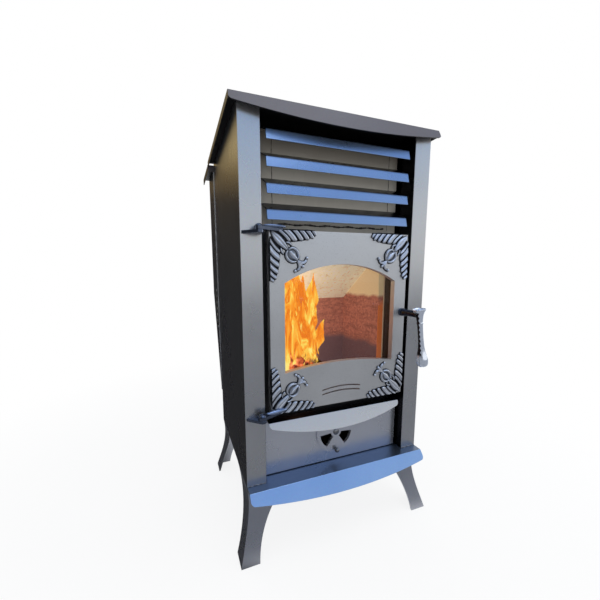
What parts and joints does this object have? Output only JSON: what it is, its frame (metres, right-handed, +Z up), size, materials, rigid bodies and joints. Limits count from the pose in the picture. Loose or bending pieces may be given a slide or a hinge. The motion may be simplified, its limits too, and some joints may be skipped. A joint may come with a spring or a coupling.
{
  "type": "pellet and wood stove",
  "caption": "Free-standing steel stove for logs and pellets: cast door with arched window and leaf corners, louvres, ash drawer with air disc, rear hopper, flared legs.",
  "frame": {"origin": "on the floor, below the centre of the bounding box", "axes": "+X right seen from the front, front faces -Y, +Z up"},
  "size_m": [0.484, 0.5156, 0.963],
  "materials": {
    "casing_paint": "satin heat-resistant paint",
    "cast_paint": "satin heat-resistant paint on cast iron",
    "firebox_paint": "heat-resistant paint",
    "fireproof_board": "matte",
    "grate_iron": "raw casting",
    "window_glass": "clear ceramic glass",
    "seal_fibre": "woven glass fibre",
    "bright_metal": "polished",
    "plain_steel": "turned",
    "galvanised": "sheet"
  },
  "bodies": {
    "stove": {"side_panel_left": "casing_paint", "side_panel_right": "casing_paint", "rear_panel": "casing_paint", "top_plate": "casing_paint", "base_plate": "casing_paint", "leg_front_left": "casing_paint", "leg_front_right": "casing_paint", "leg_rear_left": "casing_paint", "leg_rear_right": "casing_paint", "louvre_1": "casing_paint", "louvre_2": "casing_paint", "louvre_3": "casing_paint", "louvre_4": "casing_paint", "hopper_side_left": "casing_paint", "hopper_side_right": "casing_paint", "hopper_front": "casing_paint", "hopper_back": "casing_paint", "hopper_rails": "casing_paint", "flue_collar": "casing_paint", "lid_hinge_brackets": "casing_paint", "hinge_bracket_upper": "cast_paint", "hinge_bracket_lower": "cast_paint", "firebox_wall_left": "firebox_paint", "firebox_wall_right": "firebox_paint", "front_plate_upper": "firebox_paint", "front_plate_lower": "firebox_paint", "door_throat": "firebox_paint", "drawer_throat": "firebox_paint", "firebox_rear": "firebox_paint", "firebox_roof": "firebox_paint", "firebox_floor": "firebox_paint", "latch_keeper": "firebox_paint", "lining_left": "fireproof_board", "lining_right": "fireproof_board", "lining_rear": "fireproof_board", "baffle_board": "fireproof_board", "grate": "grate_iron", "burner_basket": "grate_iron", "hinge_pin_upper": "plain_steel", "hinge_pin_lower": "plain_steel", "hopper_floor": "galvanised", "pellet_chute": "galvanised", "drawer_runners": "galvanised"},
    "door": {"door_casting": "cast_paint", "door_glass": "window_glass", "glass_gasket": "seal_fibre", "door_rope": "seal_fibre", "glass_clips": "plain_steel", "clip_screws": "plain_steel"},
    "handle": {"handle_lever": "bright_metal", "latch_tongue": "plain_steel", "spindle_nut": "plain_steel"},
    "ash_drawer": {"drawer_front": "casing_paint", "drawer_lip": "casing_paint", "drawer_pan": "galvanised", "pivot_screw": "plain_steel"},
    "air_disc": {"air_disc": "casing_paint", "air_knob": "casing_paint"},
    "hopper_lid": {"hopper_lid": "casing_paint"}
  },
  "joints": [
    {"name": "door_swing", "type": "hinge", "parent": "stove", "child": "door", "pos_m": [-0.188, -0.2035, 0.5], "axis": [0, 0, -1], "range_deg": [0, 110]},
    {"name": "handle_turn", "type": "hinge", "parent": "door", "child": "handle", "pos_m": [0.156, -0.1895, 0.512], "axis": [0, -1, 0], "range_deg": [-16, 70]},
    {"name": "drawer_slide", "type": "slide", "parent": "stove", "child": "ash_drawer", "axis": [0, -1, 0], "range_m": [0, 0.21]},
    {"name": "air_disc_turn", "type": "hinge", "parent": "ash_drawer", "child": "air_disc", "pos_m": [0, -0.1715, 0.235], "axis": [0, -1, 0], "range_deg": [0, 60]},
    {"name": "hopper_lid_swing", "type": "hinge", "parent": "stove", "child": "hopper_lid", "pos_m": [0, 0.2523, 0.9008], "axis": [-1, 0, 0], "range_deg": [0, 100]}
  ]
}
